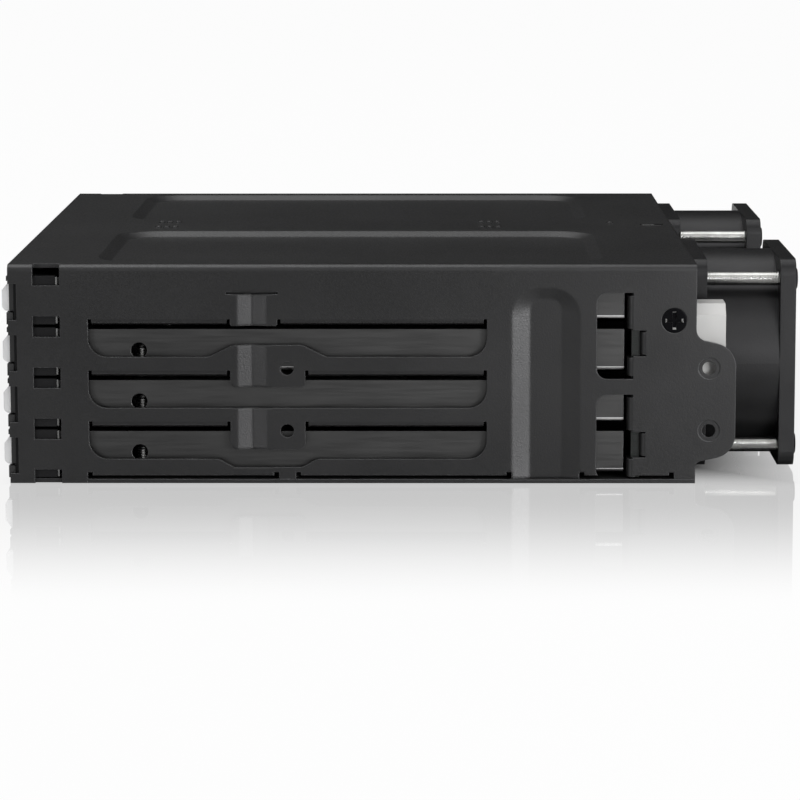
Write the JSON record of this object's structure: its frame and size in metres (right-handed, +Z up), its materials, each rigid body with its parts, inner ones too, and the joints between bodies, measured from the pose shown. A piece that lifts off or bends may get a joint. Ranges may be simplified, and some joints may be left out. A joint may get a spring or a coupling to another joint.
{
  "type": "hot swap drive cage",
  "caption": "Half height 5.25 inch bay cage with sliding 2.5 inch drive trays, hinged front levers, backplane and rear fans.",
  "frame": {"origin": "bottom centre of the bounding box, on the bottom plate's underside", "axes": "+Y from the tray fronts to the fans, +X across the width, +Z up"},
  "size_m": [0.146, 0.1508, 0.0414],
  "materials": {
    "case_black": "fine black powder coat",
    "tray_steel": "satin rolled steel",
    "board_mask": "dark solder mask",
    "connector_black": "moulded black plastic",
    "connector_white": "moulded white nylon",
    "contact": "plated contact",
    "fan_black": "moulded black plastic",
    "screw_black": "black oxide",
    "screw_steel": "bright plated steel",
    "front_dark": "moulded dark plastic",
    "lever_silver": "satin silver",
    "button_grey": "pale grey plastic"
  },
  "bodies": {
    "cage": {"top_shell": "case_black", "bottom_plate": "case_black", "centre_divider": "tray_steel", "rear_panel": "case_black", "backplane_board": "board_mask", "drive_sockets": "connector_black", "data_ports": "connector_black", "power_sockets": "connector_white", "power_pins": "contact", "fan_headers": "connector_white", "cover_screws": "screw_black", "fan_screws": "screw_steel", "fan_frame_left": "fan_black", "fan_frame_right": "fan_black"},
    "rotor_left": {"fan_rotor_left": "fan_black"},
    "rotor_right": {"fan_rotor_right": "fan_black"},
    "tray_1": {"tray_pan_1": "tray_steel", "tray_bezel_1": "front_dark", "hinge_pin_1": "screw_steel"},
    "lever_1": {"tray_lever_1": "lever_silver"},
    "button_1": {"release_button_1": "button_grey"},
    "tray_2": {"tray_pan_2": "tray_steel", "tray_bezel_2": "front_dark", "hinge_pin_2": "screw_steel"},
    "lever_2": {"tray_lever_2": "lever_silver"},
    "button_2": {"release_button_2": "button_grey"},
    "tray_3": {"tray_pan_3": "tray_steel", "tray_bezel_3": "front_dark", "hinge_pin_3": "screw_steel"},
    "lever_3": {"tray_lever_3": "lever_silver"},
    "button_3": {"release_button_3": "button_grey"},
    "tray_4": {"tray_pan_4": "tray_steel", "tray_bezel_4": "front_dark", "hinge_pin_4": "screw_steel"},
    "lever_4": {"tray_lever_4": "lever_silver"},
    "button_4": {"release_button_4": "button_grey"},
    "tray_5": {"tray_pan_5": "tray_steel", "tray_bezel_5": "front_dark", "hinge_pin_5": "screw_steel"},
    "lever_5": {"tray_lever_5": "lever_silver"},
    "button_5": {"release_button_5": "button_grey"},
    "tray_6": {"tray_pan_6": "tray_steel", "tray_bezel_6": "front_dark", "hinge_pin_6": "screw_steel"},
    "lever_6": {"tray_lever_6": "lever_silver"},
    "button_6": {"release_button_6": "button_grey"},
    "tray_7": {"tray_pan_7": "tray_steel", "tray_bezel_7": "front_dark", "hinge_pin_7": "screw_steel"},
    "lever_7": {"tray_lever_7": "lever_silver"},
    "button_7": {"release_button_7": "button_grey"},
    "tray_8": {"tray_pan_8": "tray_steel", "tray_bezel_8": "front_dark", "hinge_pin_8": "screw_steel"},
    "lever_8": {"tray_lever_8": "lever_silver"},
    "button_8": {"release_button_8": "button_grey"}
  },
  "joints": [
    {"name": "fan_spin_left", "type": "hinge", "parent": "cage", "child": "rotor_left", "pos_m": [-0.0384, 0.0649, 0.0207], "axis": [0, 1, 0], "continuous": true},
    {"name": "fan_spin_right", "type": "hinge", "parent": "cage", "child": "rotor_right", "pos_m": [0.0384, 0.0649, 0.0207], "axis": [0, 1, 0], "continuous": true},
    {"name": "tray_slide_1", "type": "slide", "parent": "cage", "child": "tray_1", "axis": [0, -1, 0], "range_m": [0, 0.12]},
    {"name": "lever_hinge_1", "type": "hinge", "parent": "tray_1", "child": "lever_1", "pos_m": [-0.003, -0.0726, 0.0055], "axis": [0, 0, 1], "range_deg": [0, 75]},
    {"name": "button_press_1", "type": "slide", "parent": "tray_1", "child": "button_1", "axis": [0, 1, 0], "range_m": [0, 0.0008], "stiffness_N_per_m": 300},
    {"name": "tray_slide_2", "type": "slide", "parent": "cage", "child": "tray_2", "axis": [0, -1, 0], "range_m": [0, 0.12]},
    {"name": "lever_hinge_2", "type": "hinge", "parent": "tray_2", "child": "lever_2", "pos_m": [-0.003, -0.0726, 0.0152], "axis": [0, 0, 1], "range_deg": [0, 75]},
    {"name": "button_press_2", "type": "slide", "parent": "tray_2", "child": "button_2", "axis": [0, 1, 0], "range_m": [0, 0.0008], "stiffness_N_per_m": 300},
    {"name": "tray_slide_3", "type": "slide", "parent": "cage", "child": "tray_3", "axis": [0, -1, 0], "range_m": [0, 0.12]},
    {"name": "lever_hinge_3", "type": "hinge", "parent": "tray_3", "child": "lever_3", "pos_m": [-0.003, -0.0726, 0.0249], "axis": [0, 0, 1], "range_deg": [0, 75]},
    {"name": "button_press_3", "type": "slide", "parent": "tray_3", "child": "button_3", "axis": [0, 1, 0], "range_m": [0, 0.0008], "stiffness_N_per_m": 300},
    {"name": "tray_slide_4", "type": "slide", "parent": "cage", "child": "tray_4", "axis": [0, -1, 0], "range_m": [0, 0.12]},
    {"name": "lever_hinge_4", "type": "hinge", "parent": "tray_4", "child": "lever_4", "pos_m": [-0.003, -0.0726, 0.0346], "axis": [0, 0, 1], "range_deg": [0, 75]},
    {"name": "button_press_4", "type": "slide", "parent": "tray_4", "child": "button_4", "axis": [0, 1, 0], "range_m": [0, 0.0008], "stiffness_N_per_m": 300},
    {"name": "tray_slide_5", "type": "slide", "parent": "cage", "child": "tray_5", "axis": [0, -1, 0], "range_m": [0, 0.12]},
    {"name": "lever_hinge_5", "type": "hinge", "parent": "tray_5", "child": "lever_5", "pos_m": [0.003, -0.0726, 0.0055], "axis": [0, 0, -1], "range_deg": [0, 75]},
    {"name": "button_press_5", "type": "slide", "parent": "tray_5", "child": "button_5", "axis": [0, 1, 0], "range_m": [0, 0.0008], "stiffness_N_per_m": 300},
    {"name": "tray_slide_6", "type": "slide", "parent": "cage", "child": "tray_6", "axis": [0, -1, 0], "range_m": [0, 0.12]},
    {"name": "lever_hinge_6", "type": "hinge", "parent": "tray_6", "child": "lever_6", "pos_m": [0.003, -0.0726, 0.0152], "axis": [0, 0, -1], "range_deg": [0, 75]},
    {"name": "button_press_6", "type": "slide", "parent": "tray_6", "child": "button_6", "axis": [0, 1, 0], "range_m": [0, 0.0008], "stiffness_N_per_m": 300},
    {"name": "tray_slide_7", "type": "slide", "parent": "cage", "child": "tray_7", "axis": [0, -1, 0], "range_m": [0, 0.12]},
    {"name": "lever_hinge_7", "type": "hinge", "parent": "tray_7", "child": "lever_7", "pos_m": [0.003, -0.0726, 0.0249], "axis": [0, 0, -1], "range_deg": [0, 75]},
    {"name": "button_press_7", "type": "slide", "parent": "tray_7", "child": "button_7", "axis": [0, 1, 0], "range_m": [0, 0.0008], "stiffness_N_per_m": 300},
    {"name": "tray_slide_8", "type": "slide", "parent": "cage", "child": "tray_8", "axis": [0, -1, 0], "range_m": [0, 0.12]},
    {"name": "lever_hinge_8", "type": "hinge", "parent": "tray_8", "child": "lever_8", "pos_m": [0.003, -0.0726, 0.0346], "axis": [0, 0, -1], "range_deg": [0, 75]},
    {"name": "button_press_8", "type": "slide", "parent": "tray_8", "child": "button_8", "axis": [0, 1, 0], "range_m": [0, 0.0008], "stiffness_N_per_m": 300}
  ]
}
